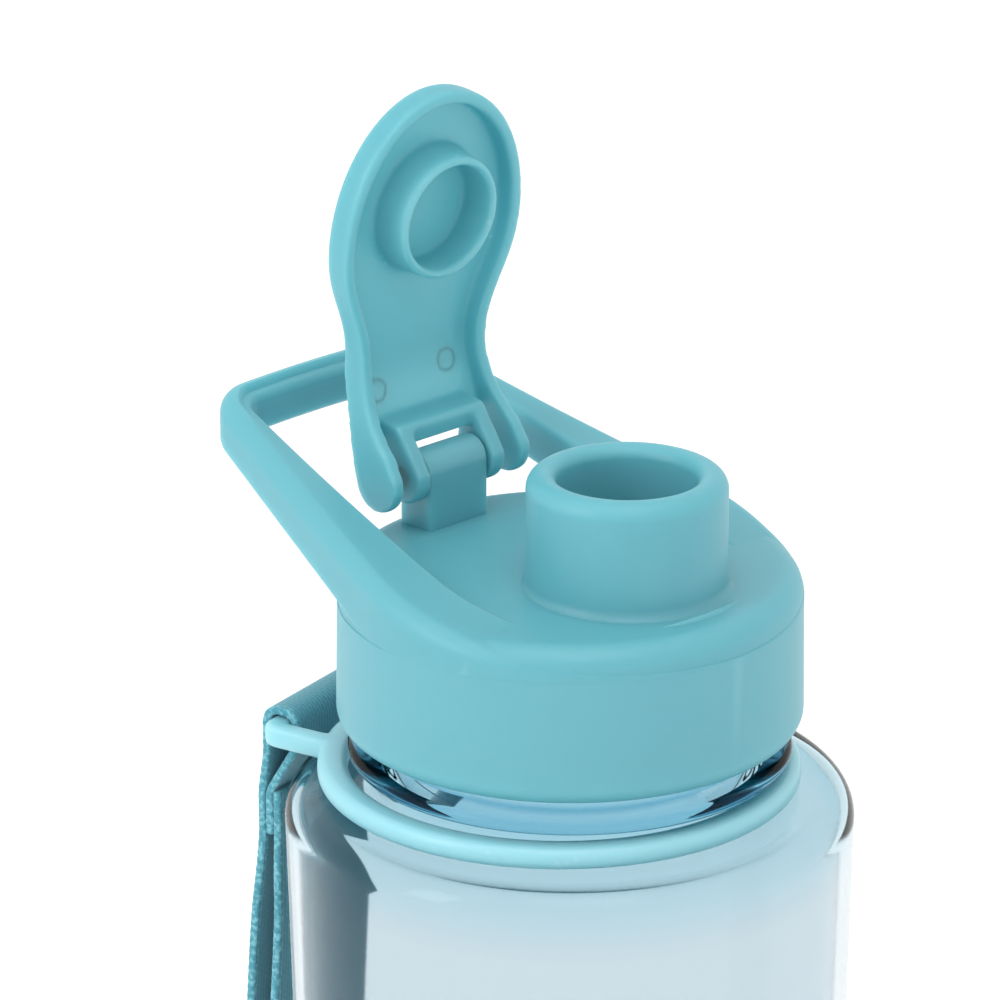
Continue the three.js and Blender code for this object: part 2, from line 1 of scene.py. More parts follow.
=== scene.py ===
# %% [markdown]
# # A sports bottle with a flip-cap lid
# This lesson dresses an engineered model for a portrait. The engineered model, the frame, already
# has every piece at its true place and size, but its round walls are made of flats. Each piece that
# shows is modelled again here with smooth walls and soft moulded edges, at the same size and place,
# and gets a finish that has the fine marks of the real one.

# %% Load the frame
import bpy
from math import atan2, cos, pi, radians, sin, sqrt, tan
from mathutils import Matrix, Vector


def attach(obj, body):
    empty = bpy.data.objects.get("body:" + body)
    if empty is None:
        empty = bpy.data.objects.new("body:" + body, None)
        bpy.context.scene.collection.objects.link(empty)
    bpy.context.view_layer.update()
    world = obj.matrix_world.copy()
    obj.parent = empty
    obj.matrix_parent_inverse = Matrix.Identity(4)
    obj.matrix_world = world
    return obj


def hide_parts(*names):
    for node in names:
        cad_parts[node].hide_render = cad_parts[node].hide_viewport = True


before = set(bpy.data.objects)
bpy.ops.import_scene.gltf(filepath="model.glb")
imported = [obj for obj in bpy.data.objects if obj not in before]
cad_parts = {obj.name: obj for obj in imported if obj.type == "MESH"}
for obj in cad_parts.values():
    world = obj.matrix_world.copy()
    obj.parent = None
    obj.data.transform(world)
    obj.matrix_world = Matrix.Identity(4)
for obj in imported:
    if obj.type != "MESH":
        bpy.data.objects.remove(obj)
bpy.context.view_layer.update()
print("nodes", sorted(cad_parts))

# %% [markdown]
# ## Sizes
# Plastic drawings are in millimetres and Blender works in metres, so every size below is in
# millimetres and is turned into metres where a point is placed. Heights on the lid are counted from
# its bottom edge. The bottle stands at z = 0, its axis is the Z axis, the spout is at the front (-Y)
# and the loop handle at the back (+Y).

# %% Sizes of the real pieces
MM = 0.001
LID_Z, GAP = 188.0, 0.3
BODY_R, BODY_DRAFT, BODY_WALL = 37.0, 1.1, 1.9
SHOULDER_DROP, SHOULDER_ROUND, BASE_ROUND, FOOT_WIDTH, BASE_RECESS = 8.7, 4.4, 5.0, 4.5, 1.0
NECK_R, NECK_WALL, NECK_BLEND, BEAD_R, BEAD_DROP, BEAD_HEIGHT = 25.4, 2.2, 0.9, 28.8, 2.4, 2.1
THREAD_PITCH, THREAD_DEPTH, THREAD_ROOT, THREAD_CREST = 5.0, 1.4, 2.0, 0.9
THREAD_TURNS, THREAD_START, LID_BORE, SEAL_THICK = 1.5, 5.0, 27.35, 1.6
MOUTH_OUTER, MOUTH_INNER, NECK_INNER = 0.8, 0.6, 2.4
LID_R, LID_DRAFT, LID_ROUND = 30.15, 0.75, 2.4
DECK_Z, DECK_THICK, DECK_ROUND, DECK_CROWN = 21.0, 2.4, 3.0, 0.5
SPOUT_R, SPOUT_BORE, SPOUT_TOP, SPOUT_OFFSET, SPOUT_RIM, SPOUT_FILLET = 12.85, 9.0, 36.4, 10.1, 2.2, 1.5
HINGE_Y, HINGE_Z, POST_WIDTH, POST_ROUND, BARREL_R, PIN_R = 23.5, 28.7, 10.4, 0.5, 2.9, 1.1
RING_BORE, RING_OUTER, RING_THICK, RING_SHIFT, TAB_TURN = 27.4, 31.4, 3.0, 1.6, 13.6
TAB_REACH, TAB_BAR, TAB_CORNER, TAB_ROUND = 38.4, 2.8, 2.4, 0.8
STRAP_WIDTH, STRAP_THICK = 20.0, 1.2
SHOULDER_Z = LID_Z - SHOULDER_DROP
NECK_TOP = LID_Z + DECK_Z - DECK_THICK - GAP - SEAL_THICK - GAP
RING_Z = SHOULDER_Z + GAP
print("neck top at", round(NECK_TOP, 1), "mm")

# %% [markdown]
# ## The camera
# A product portrait like this is taken from a little above with a long lens, so that the bottle's
# walls stay upright. The camera comes first, because what it sees decides where detail is needed. It
# is placed by three directions: where it looks, what is right and what is up.

# %% Camera
camera_data = bpy.data.cameras.new("camera")
camera_data.lens, camera_data.sensor_width = 216.0, 36.0
camera = bpy.data.objects.new("camera", camera_data)
bpy.context.scene.collection.objects.link(camera)
look = Vector((0.6507, 0.6738, -0.3502)).normalized()
right = look.cross(Vector((0, 0, 1))).normalized()
up = right.cross(look)
place = Vector((-0.5040, -0.5089, 0.4856))
camera.matrix_world = Matrix.Translation(place) @ Matrix((right, up, -look)).transposed().to_4x4()
bpy.context.scene.camera = camera
print("camera at", [round(x, 3) for x in place])

# %% [markdown]
# ## Modelling helpers
# A turned piece is drawn as half of its section and spun round an axis, as on a lathe. A prism is a
# flat outline that is extruded. The two make nearly everything on a bottle. Each ends with its
# doubles merged and its faces turned outwards, and booleans then join and cut them.

# %% Selecting, editing and tidying
FACETS = 144


def take(*pieces):
    bpy.ops.object.select_all(action="DESELECT")
    for piece in pieces:
        piece.select_set(True)
    bpy.context.view_layer.objects.active = pieces[0]


def tidy(piece, merge=0.002):
    """Merge doubles, drop loose points and turn the faces outwards."""
    take(piece)
    bpy.ops.object.mode_set(mode="EDIT")
    bpy.ops.mesh.select_all(action="SELECT")
    bpy.ops.mesh.remove_doubles(threshold=merge * MM)
    bpy.ops.mesh.delete_loose()
    bpy.ops.mesh.select_all(action="SELECT")
    bpy.ops.mesh.normals_make_consistent(inside=False)
    bpy.ops.object.mode_set(mode="OBJECT")
    return piece


def modify(piece, kind, **settings):
    """Add a modifier with these settings and apply it."""
    take(piece)
    modifier = piece.modifiers.new(kind.title(), kind)
    for key, value in settings.items():
        setattr(modifier, key, value)
    bpy.ops.object.modifier_apply(modifier=modifier.name)
    return piece


def rounded(piece, width, segments, sharp=50):
    """Round every edge that turns by more than sharp degrees."""
    return modify(piece, "BEVEL", width=width * MM, segments=segments, limit_method="ANGLE",
                  angle_limit=radians(sharp))


def combine(piece, tool, operation):
    modify(piece, "BOOLEAN", object=tool, operation=operation, solver="EXACT")
    bpy.data.objects.remove(tool)
    return piece


def joined(name, *pieces):
    take(*pieces)
    bpy.ops.object.join()
    pieces[0].name = name
    return pieces[0]


def smooth(piece, degrees=32):
    take(piece)
    bpy.ops.object.shade_smooth_by_angle(angle=radians(degrees))
    print(piece.name, len(piece.data.polygons), "faces")
    return piece


# %% Lathe and prism
def arc(x, y, r, first, last, steps=8):
    turn = [radians(first + (last - first) * i / steps) for i in range(steps + 1)]
    return [(x + r * cos(a), y + r * sin(a)) for a in turn]


def ring_of_points(name, points):
    """A closed ring of edges through points given in millimetres."""
    bpy.ops.object.select_all(action="DESELECT")
    bpy.ops.mesh.primitive_circle_add(vertices=len(points), radius=MM)
    piece = bpy.context.object
    piece.name = name
    for vertex, point in zip(piece.data.vertices, points):
        vertex.co = Vector(point) * MM
    return piece


def turned(name, section, facets=FACETS, centre=(0, 0)):
    piece = ring_of_points(name, [(centre[0] + r, centre[1], z) for r, z in section])
    bpy.ops.object.mode_set(mode="EDIT")
    bpy.ops.mesh.select_all(action="SELECT")
    bpy.ops.mesh.spin(steps=facets, angle=2 * pi, axis=(0, 0, 1),
                      center=(centre[0] * MM, centre[1] * MM, 0))
    bpy.ops.object.mode_set(mode="OBJECT")
    return tidy(piece)


def prism(name, points, reach):
    """The flat outline through points, extruded along reach."""
    piece = ring_of_points(name, points)
    bpy.ops.object.mode_set(mode="EDIT")
    bpy.ops.mesh.select_all(action="SELECT")
    bpy.ops.mesh.edge_face_add()
    bpy.ops.mesh.extrude_region_move(TRANSFORM_OT_translate={"value": Vector(reach) * MM})
    bpy.ops.object.mode_set(mode="OBJECT")
    return tidy(piece)


def across(name, side, width):
    """A shape drawn from the side, as (y, z), and as wide as width about x = 0."""
    return prism(name, [(-width / 2, y, z) for y, z in side], (width, 0, 0))


def block(name, low, high):
    corners = [(low[0], low[1]), (high[0], low[1]), (high[0], high[1]), (low[0], high[1])]
    return prism(name, [(x, y, low[2]) for x, y in corners], (0, 0, high[2] - low[2]))


# %% [markdown]
# ## Screw threads
# The ridges on the neck and in the lid are a small trapezium swept along a helix. Blender's Screw
# modifier does that sweep. The ends are closed with a face each, because a ridge with open ends
# isn't a solid. Each ridge is sunk a little into its wall.

# %% Helical ridge
THREAD_SUNK = 0.4
THREAD_STEPS = int(96 * THREAD_TURNS)


def ridge(name, wall, side, start):
    root, crest = THREAD_ROOT / 2, THREAD_CREST / 2
    foot, tip = wall - side * THREAD_SUNK, wall + side * THREAD_DEPTH
    section = [(foot, -root), (tip, -crest), (tip, crest), (foot, root)]
    piece = ring_of_points(name, [(r, 0, start + z) for r, z in section])
    modify(piece, "SCREW", angle=2 * pi * THREAD_TURNS, steps=THREAD_STEPS, render_steps=THREAD_STEPS,
           screw_offset=THREAD_PITCH * THREAD_TURNS * MM, use_merge_vertices=False)
    take(piece)
    bpy.ops.object.mode_set(mode="EDIT")
    bpy.ops.mesh.select_all(action="SELECT")
    bpy.ops.mesh.fill_holes(sides=8)
    bpy.ops.object.mode_set(mode="OBJECT")
    return tidy(piece)


# %% [markdown]
# ## The bottle
# The real one is blown from clear stiff plastic, so it is one thin wall of almost even thickness:
# a foot ring, a wall that leans in slightly towards the base, a tight round shoulder, a flat that
# the strap ring lies on, and a neck with a bead that keeps the ring from slipping off. Both faces of
# the wall are needed, because clear plastic bends light at each.

# %% Bottle
def wall_r(z):
    return BODY_R - (SHOULDER_Z - SHOULDER_ROUND - z) * tan(radians(BODY_DRAFT))


foot_r = wall_r(BASE_ROUND) - BASE_ROUND
foot_inner = foot_r - FOOT_WIDTH
turn_r, turn_z = BODY_R - SHOULDER_ROUND, SHOULDER_Z - SHOULDER_ROUND
bead, bead_blend = BEAD_HEIGHT / 2, 0.3
bead_z = LID_Z - BEAD_DROP - bead
mouth = NECK_R - NECK_WALL
outside = [(0, BASE_RECESS), (foot_inner, BASE_RECESS), (foot_inner + 0.5, 0.4), (foot_inner + 1.2, 0)]
outside += arc(foot_r, BASE_ROUND, BASE_ROUND, -90, 0, 10)
outside += arc(turn_r, turn_z, SHOULDER_ROUND, 0, 90, 14)
outside += arc(NECK_R + NECK_BLEND, SHOULDER_Z + NECK_BLEND, NECK_BLEND, -90, -180, 4)
outside += [(NECK_R, bead_z - bead - bead_blend)]
outside += arc(BEAD_R - bead, bead_z, bead, -75, 75, 10)
outside += [(NECK_R, bead_z + bead + bead_blend)]
outside += arc(NECK_R - MOUTH_OUTER, NECK_TOP - MOUTH_OUTER, MOUTH_OUTER, 0, 90, 5)
inside = arc(mouth + MOUTH_INNER, NECK_TOP - MOUTH_INNER, MOUTH_INNER, 90, 180, 5)
inside += [(mouth, SHOULDER_Z + 1)]
inside += arc(mouth + NECK_INNER, SHOULDER_Z + 0.5, NECK_INNER, 180, 270, 6)
inside += arc(turn_r, turn_z, SHOULDER_ROUND - BODY_WALL, 90, 0, 10)
inside += arc(foot_r, BASE_ROUND, BASE_ROUND - BODY_WALL, 0, -90, 8)
inside += [(foot_inner, BODY_WALL + 0.1), (foot_inner - 2, BODY_WALL + BASE_RECESS)]
inside += [(0, BODY_WALL + BASE_RECESS)]
bottle = turned("clear_bottle", outside + inside)
neck_thread = ridge("neck_thread", NECK_R, 1, LID_Z + THREAD_START)
bottle = smooth(joined("clear_bottle", bottle, neck_thread))

# %% [markdown]
# ## The lid
# The lid is one moulding. Its skirt and deck are turned. The band that rises from the front round
# the deck and runs on as the loop handle changes its section all the way, which no lathe or extrude
# can follow, so it is skinned over a row of sections: each section is drawn across the band at one
# place, and faces join it to the next. Spout and hinge post are then joined on and the bores cut.

# %% Skirt and deck
def lid_side(z):
    return LID_R - max(0, z - LID_ROUND) * tan(radians(LID_DRAFT))


BAND_LOWER, BAND_PROUD = 16.6, 0.12
BORE_CHAMFER, ROOF_CHAMFER = 0.9, 0.6
band_r = lid_side(BAND_LOWER)
deck_edge = band_r - BAND_PROUD
roof = DECK_Z - DECK_THICK
skirt_section = [(LID_BORE + BORE_CHAMFER, 0)]
skirt_section += arc(LID_R - LID_ROUND, LID_ROUND, LID_ROUND, -86, 0, 10)
skirt_section += [(band_r - 0.02, BAND_LOWER + 0.03), (deck_edge - 0.05, BAND_LOWER + 0.08)]
skirt_section += arc(deck_edge - DECK_ROUND, DECK_Z - DECK_ROUND, DECK_ROUND, 0, 90, 8)
skirt_section += [(18, DECK_Z + DECK_CROWN * 0.6), (9, DECK_Z + DECK_CROWN * 0.9)]
skirt_section += [(0, DECK_Z + DECK_CROWN), (0, roof)]
skirt_section += [(LID_BORE - ROOF_CHAMFER, roof), (LID_BORE, roof - ROOF_CHAMFER), (LID_BORE, 1)]
skirt_section = [(r, LID_Z + z) for r, z in skirt_section]
lid = turned("lid", skirt_section)
print("skirt radius", round(band_r, 2), "mm at the band")

# %% Path of the band and handle
ARM_TURN, ARM_FROM, ARM_SLOPE = 14.5, 8.0, 0.346
HANDLE_END, HANDLE_BOW, HANDLE_CORNER, BAR_THICK = 49.2, 240.0, 6.0, 4.2
RECESS_HALF, RECESS_TURN, RECESS_CORNER, RECESS_CLEAR = 20.6, 6.5, 3.0, 0.6
RECESS_NOSE = SPOUT_OFFSET + SPOUT_R + RECESS_CLEAR
BAND_MID, BAND_TILT, BAND_BEND = 23.1, 0.235, 0.0011
BAND_EDGE, BAND_INNER_EDGE, BAND_UNDER, BAND_WALL, RECESS_LIFT = 2.4, 1.3, 1.6, 2.2, 0.4
CORNER_SHARP, CORNER_GROWTH, CORNER_FROM, CORNER_OVER = 0.1, 0.7, 2.0, 14.0
FRONT_STEPS, ARM_STEPS = 56, 24


def half_loop(front, turn, corner, bow_r):
    """Right half of a loop from the front: the curve, a straight arm, a corner, half the end bar."""
    bow_y = HANDLE_END - HANDLE_BOW
    leave = Vector(front(turn))
    along = Vector((-sin(radians(turn)), cos(radians(turn))))
    inward = Vector((-along.y, along.x))
    start = leave + inward * corner
    to_bow = Vector((0, bow_y)) - start
    reach = to_bow.dot(along) + sqrt((bow_r - corner) ** 2 - to_bow.dot(inward) ** 2)
    centre = start + along * reach
    arm_end = centre - inward * corner
    bow_angle = atan2(centre.y - bow_y, centre.x) * 180 / pi
    points = [Vector(front(-90 + (90 + turn) * i / FRONT_STEPS)) for i in range(FRONT_STEPS)]
    points += [leave.lerp(arm_end, i / ARM_STEPS) for i in range(ARM_STEPS)]
    points += [Vector(p) for p in arc(centre.x, centre.y, corner, turn, bow_angle, 14)]
    return points + [Vector(p) for p in arc(0, bow_y, bow_r, bow_angle, 90, 10)[1:]]


def band_top(y):
    return BAND_MID + BAND_TILT * y + BAND_BEND * y * y


def band_low(y):
    return BAND_LOWER + max(0.0, ARM_SLOPE * (y - ARM_FROM))


def band_front(degrees):
    return band_r * cos(radians(degrees)), band_r * sin(radians(degrees))


def recess_front(degrees):
    nose = RECESS_NOSE if degrees < 0 else RECESS_HALF
    return RECESS_HALF * cos(radians(degrees)), nose * sin(radians(degrees))


outer_loop = half_loop(band_front, ARM_TURN, HANDLE_CORNER, HANDLE_BOW)
inner_loop = half_loop(recess_front, RECESS_TURN, RECESS_CORNER, HANDLE_BOW - BAR_THICK)
print("band sections", 2 * len(outer_loop) - 2)


# %% Sections across the band, and the skin over them
def band_section(outer, inner):
    """Section across the band, with sharp lower corners in front and rounded ones behind."""
    top, low = band_top(outer.y), band_low(outer.y)
    edge = min(BAND_EDGE, (top - low) / 2)
    growth = min(1.0, max(0.0, (outer.y - CORNER_FROM) / CORNER_OVER))
    corner = min(CORNER_SHARP + CORNER_GROWTH * growth, (top - low) / 4)
    front = min(1.0, max(0.0, -inner.y / RECESS_NOSE)) ** 3
    crest = (band_top(inner.y) + RECESS_LIFT) * (1 - front) + (DECK_Z + DECK_CROWN) * front
    wide = (outer - inner).length
    under = max(low, DECK_Z - BAND_UNDER)
    points = arc(corner, low + corner, corner, -90, -180, 3)
    points += arc(edge, top - edge, edge, 180, 90, 7)
    points += arc(wide - BAND_INNER_EDGE, crest - BAND_INNER_EDGE, BAND_INNER_EDGE, 90, 0, 6)
    points += arc(wide - corner, under + corner, corner, 0, -90, 3)
    points += [(BAND_WALL, under if under - low < 0.01 else low)]
    return [(*outer.lerp(inner, inset / wide), LID_Z + z) for inset, z in points]


def skinned(name, rings):
    """Faces from each ring of points to the next, and from the last to the first."""
    count = len(rings[0])
    points = [Vector(p) * MM for ring in rings for p in ring]
    faces = []
    for i in range(len(rings)):
        here, there = i * count, (i + 1) % len(rings) * count
        for j in range(count):
            faces.append((here + j, here + (j + 1) % count, there + (j + 1) % count, there + j))
    mesh = bpy.data.meshes.new(name)
    mesh.from_pydata(points, [], faces)
    piece = bpy.data.objects.new(name, mesh)
    bpy.context.scene.collection.objects.link(piece)
    return tidy(piece)


right_half = [band_section(outer, inner) for outer, inner in zip(outer_loop, inner_loop)]
left_half = [[(-x, y, z) for x, y, z in ring] for ring in reversed(right_half[1:-1])]
band = skinned("band", right_half + left_half)

# %% Spout, hinge post and bores
spout_section = [(0, DECK_Z - 1), (SPOUT_R + SPOUT_FILLET, DECK_Z - 1)]
spout_section += arc(SPOUT_R + SPOUT_FILLET, DECK_Z + SPOUT_FILLET, SPOUT_FILLET, -90, -180, 6)
spout_section += arc(SPOUT_R - SPOUT_RIM, SPOUT_TOP - SPOUT_RIM, SPOUT_RIM, 0, 90, 10)
spout_section += [(0, SPOUT_TOP)]
spout = turned("spout", [(r, LID_Z + z) for r, z in spout_section], 96, (0, -SPOUT_OFFSET))
lip = SPOUT_R - SPOUT_RIM - SPOUT_BORE
bore_section = [(0, roof - 1), (SPOUT_BORE, roof - 1)]
bore_section += arc(SPOUT_BORE + lip, SPOUT_TOP - lip, lip, 180, 90, 8)
bore_section += [(SPOUT_BORE + lip, SPOUT_TOP + 1), (0, SPOUT_TOP + 1)]
bore = turned("bore", [(r, LID_Z + z) for r, z in bore_section], 96, (0, -SPOUT_OFFSET))
post_side = [(HINGE_Y - BARREL_R, DECK_Z - 1), (HINGE_Y + BARREL_R, DECK_Z - 1)]
post_side += arc(HINGE_Y, HINGE_Z, BARREL_R, 0, 180, 20)
post = across("post", [(y, LID_Z + z) for y, z in post_side], POST_WIDTH)
rounded(post, POST_ROUND, 3)
pin_hole = across("pin_hole", arc(HINGE_Y, LID_Z + HINGE_Z, PIN_R + GAP, 0, 345, 23), POST_WIDTH + 4)
for part in (band, spout, post):
    combine(lid, part, "UNION")
for part in (bore, pin_hole):
    combine(lid, part, "DIFFERENCE")
tidy(lid)
lid_thread = ridge("lid_thread", LID_BORE, -1, LID_Z + THREAD_START - THREAD_PITCH / 2)
lid = smooth(joined("screw_lid", lid, lid_thread))
modify(lid, "WEIGHTED_NORMAL", weight=50, keep_sharp=True)

# %% [markdown]
# ## The flip cap
# A shallow tray with a rim, a plug ring that stops the spout, two ears at the sides and two lugs
# that hold the pin. It is built lying flat, x across and y from the hinge to the tip, and stood up
# at the end. The parts are cut and joined as solids, and then a fine voxel remesh with a little
# smoothing melts their edges together, which gives the soft fillets of a moulding.

# %% Outline of the cap
CAP_LENGTH, CAP_HALF, CAP_WIDEST_AT = 50.0, 15.5, 31.0
CAP_WAIST, CAP_WAIST_AT, CAP_FOOT = 11.0, 13.0, 12.2
CAP_PLATE, CAP_RIM, CAP_WALL, CAP_ROUND = 1.4, 4.2, 1.8, 1.2
PLUG_R, PLUG_TIP, PLUG_WALL, PLUG_DEPTH, EAR_R, OPEN_LEAN = 8.7, 8.3, 1.5, 5.6, 3.8, 7.0
LUG_WALL, LUG_R, ROOF_THICK, ROOF_FRONT, ROOF_CUT, ROOF_CLEAR = 2.3, 3.7, 2.8, 0.8, 0.5, 0.5
CAP_SLOPE, PLUG_ROUND, EAR_FROM = 0.41, 0.6, 17.0
plug_reach = HINGE_Y + SPOUT_OFFSET
plate_z = -(SPOUT_TOP - HINGE_Z + GAP)
cap_back = plate_z - CAP_PLATE
cap_front = cap_back + CAP_RIM
lug_inner = POST_WIDTH / 2 + GAP
lug_outer = lug_inner + LUG_WALL
roof_y = BARREL_R + GAP + ROOF_CLEAR
roof_end = roof_y + ROOF_THICK
ear_inner = CAP_FOOT - CAP_WALL
slope_top = CAP_WAIST_AT
roof_back = cap_back + (slope_top - roof_y) * CAP_SLOPE


def bezier(a, b, c, d, steps):
    a, b, c, d = (Vector(p) for p in (a, b, c, d))
    spots = [i / steps for i in range(steps + 1)]
    return [a * (1 - t) ** 3 + b * 3 * t * (1 - t) ** 2 + c * 3 * t * t * (1 - t) + d * t ** 3
            for t in spots]


def cap_outline(inset, bottom):
    """The cap seen from above: a half ellipse at the tip, a waist, then straight sides to bottom."""
    half, waist, foot = CAP_HALF - inset, CAP_WAIST - inset, CAP_FOOT - inset
    tip = CAP_LENGTH - inset - CAP_WIDEST_AT
    turn = [radians(3 * i) for i in range(31)]
    nose = [(half * sin(a), CAP_WIDEST_AT + tip * cos(a)) for a in turn]
    line = nose + bezier(nose[-1], (half, CAP_WIDEST_AT - 8), (waist, CAP_WAIST_AT + 8),
                         (waist, CAP_WAIST_AT), 24)[1:]
    line += bezier((waist, CAP_WAIST_AT), (waist, CAP_WAIST_AT - 5), (foot, 5), (foot, 0), 12)[1:]
    line = [tuple(p) for p in line] + [(foot, bottom)]
    return line + [(-x, y) for x, y in reversed(line[1:])]


print("cap outline points", len(cap_outline(0, 0)))

# %% Cap solids
tray = prism("tray", [(x, y, cap_back) for x, y in cap_outline(0, -EAR_R - 3)], (0, 0, 20))
rounded(tray, CAP_ROUND, 4)
side = [(CAP_LENGTH + 1, cap_back - 1), (CAP_LENGTH + 1, cap_front), (EAR_FROM, cap_front)]
ear_rise = bezier((EAR_FROM, cap_front), (EAR_FROM - 5, cap_front), (8, cap_front + 1), (4, 1.5), 10)
side += [tuple(p) for p in ear_rise[1:]]
side += arc(0, 0, EAR_R, 62, 245, 24) + [(slope_top, cap_back), (slope_top, cap_back - 1)]
combine(tray, across("side", side, 2 * CAP_HALF + 4), "INTERSECT")
pocket = prism("pocket", [(x, y, plate_z) for x, y in cap_outline(CAP_WALL, -EAR_R - 4)], (0, 0, 30))
combine(tray, pocket, "DIFFERENCE")
gap = block("gap", (-ear_inner + 0.3, -EAR_R - 4, -20), (ear_inner - 0.3, roof_y, 20))
combine(tray, gap, "DIFFERENCE")
slope_face = bezier((slope_top + 4, plate_z), (slope_top - 1, plate_z),
                    (slope_top - 4, plate_z + 1.6), (roof_y, roof_back + CAP_PLATE), 12)
slope_side = [(slope_top + 4, cap_back + 0.3)] + [tuple(p) for p in slope_face]
slope_side += [(roof_y, roof_back), (slope_top + 0.8, cap_back + 0.05)]
slope = across("slope", slope_side, 2 * ear_inner - 0.4)
roof_side = [(roof_y, -ROOF_FRONT), (roof_end - ROOF_CUT, -ROOF_FRONT)]
roof_side += [(roof_end, -ROOF_FRONT - ROOF_CUT), (roof_end, roof_back - 0.4), (roof_y, roof_back + 0.1)]
roof_bar = across("roof_bar", roof_side, 2 * lug_outer)
plug_section = [(PLUG_R - PLUG_WALL, plate_z - 0.5), (PLUG_R, plate_z - 0.5), (PLUG_R, plate_z)]
plug_end = plate_z + PLUG_DEPTH - PLUG_ROUND
plug_section += arc(PLUG_TIP - PLUG_ROUND, plug_end, PLUG_ROUND, 0, 180, 8)[:-1]
plug_section += [(PLUG_TIP - PLUG_WALL + 0.3, plug_end)]
plug = turned("plug", plug_section, 96, (0, plug_reach))
lug_side = arc(0, 0, LUG_R, 70, 270, 26)
lug_side += [(roof_end, -LUG_R), (roof_end, -ROOF_FRONT - ROOF_CUT), (roof_end - ROOF_CUT, -ROOF_FRONT)]
lugs = [prism("lug", [(x, y, z) for y, z in lug_side], (LUG_WALL, 0, 0))
        for x in (lug_inner, -lug_outer)]
for part in (slope, roof_bar, plug, *lugs):
    combine(tray, part, "UNION")
print("tray", len(tray.data.polygons), "faces")

# %% [markdown]
# Two fine round marks stand on the inside of the plate, where the mould's ejector pins pushed the
# cap out. The holes for the pin stay closed on the outside, so the pin can't work its way out and
# its ends don't show. The smoothing after the remesh rounds the edges.

# %% Melt the edges, mark the plate and stand the cap up
VOXEL, QUICK_VOXEL, QUICK_PASSES = 0.27, 0.5, 5
MARK_R, MARK_LINE, BLIND_WALL, HOLE_EXTRA = 1.45, 0.2, 0.2, 0.02
EJECTOR_MARKS = ((6.1, 10.4, plate_z + 0.36, 14), (-6.4, 9.2, plate_z + 0.75, 20))


def melted(piece, passes):
    """Remesh a solid finely and smooth it this many times, so that its edges turn round."""
    modify(piece, "REMESH", mode="VOXEL", voxel_size=VOXEL * MM)
    modify(piece, "SMOOTH", factor=0.5, iterations=passes)


melted(tray, 22)
pin_half = lug_outer - BLIND_WALL + HOLE_EXTRA
cap_hole = across("cap_hole", arc(0, 0, PIN_R + GAP, 0, 345, 23), 2 * pin_half)
combine(tray, cap_hole, "DIFFERENCE")
marks = []
for x, y, z, tip in EJECTOR_MARKS:
    bpy.ops.object.select_all(action="DESELECT")
    bpy.ops.mesh.primitive_torus_add(major_radius=MARK_R * MM, minor_radius=MARK_LINE * MM,
                                     major_segments=40, minor_segments=8)
    mark = bpy.context.object
    lie = Matrix.Translation(Vector((x, y, z)) * MM) @ Matrix.Rotation(-radians(tip), 4, "X")
    mark.data.transform(lie)
    marks.append(mark)
cap = joined("flip_top", tray, *marks)
hinge = Matrix.Translation(Vector((0, HINGE_Y, LID_Z + HINGE_Z)) * MM)
cap.data.transform(hinge @ Matrix.Rotation(radians(90 + OPEN_LEAN), 4, "X"))
smooth(cap, 60)

# %% [markdown]
# ## The strap ring
# A softer, paler moulding: a flat ring that lies on the shoulder and turns round the neck, with a
# rectangular tab for the webbing. Ring and tab are joined as solids and remeshed like the cap.

# %% Strap ring
TOP_OUTER, TOP_INNER, UNDERSIDE, TAB_LAP = 1.3, 1.2, 1.0, 1.5
ring_section = arc(RING_OUTER - TOP_OUTER, RING_THICK - TOP_OUTER, TOP_OUTER, 0, 90)
ring_section += arc(RING_BORE + TOP_INNER, RING_THICK - TOP_INNER, TOP_INNER, 90, 180)
ring_section += arc(RING_BORE + UNDERSIDE, UNDERSIDE, UNDERSIDE, 180, 270)
ring_section += arc(RING_OUTER - UNDERSIDE, UNDERSIDE, UNDERSIDE, 270, 360)
strap_ring = turned("neck_ring", ring_section)
slot_half = STRAP_WIDTH / 2 + GAP
tab_half = slot_half + TAB_BAR
tab_line = [(0, 10), (tab_half, 10)]
tab_line += arc(tab_half - TAB_CORNER, TAB_REACH - TAB_CORNER, TAB_CORNER, 0, 90)
tab_line += [(-x, y) for x, y in reversed(tab_line[1:])]
tab = prism("tab", [(x, y, 0) for x, y in tab_line], (0, 0, RING_THICK))
window = block("window", (-slot_half, 0, -5), (slot_half, TAB_REACH - TAB_BAR, 10))
combine(tab, window, "DIFFERENCE")
clear_r = RING_BORE + TAB_LAP
combine(tab, turned("bore", [(0, -5), (clear_r, -5), (clear_r, 10), (0, 10)]), "DIFFERENCE")
rounded(tab, TAB_ROUND, 3)
combine(strap_ring, tab, "UNION")
melted(strap_ring, 12)
hang = Matrix.Rotation(radians(TAB_TURN), 4, "Z") @ Matrix.Translation((0, RING_SHIFT * MM, 0))
strap_ring.data.transform(Matrix.Translation((0, 0, RING_Z * MM)) @ hang)
smooth(strap_ring, 60)

# %% [markdown]
# ## The wrist strap
# One length of ribbed webbing, 20 mm wide. It goes round the crossbar, is stitched to itself in
# three layers, hangs down as a loop and comes back up. It is made as cloth is: a thin strip follows
# the middle of the webbing all the way and then gets its thickness. The strip carries a flat map, so
# the weave follows it round every bend.

# %% Route of the webbing, seen from the side
STRAP_SLACK, STRAP_DROP, STRAP_OUT, STRAP_LEAN, LEAN_LENGTH = 0.35, 150.0, 2.0, 4.9, 110.0
EYE_DROP, EYE_FLARE, EYE_TURN, OVERLAP = 9.0, 4.0, 2.2, 7.0
LOOP_OPEN, LOOP_END, LOOP_FLARE, LOOP_PARTED, EYE_ROUND = 2.6, 5.0, 40.0, 30.0, 1.6
overlap_end = EYE_DROP + OVERLAP


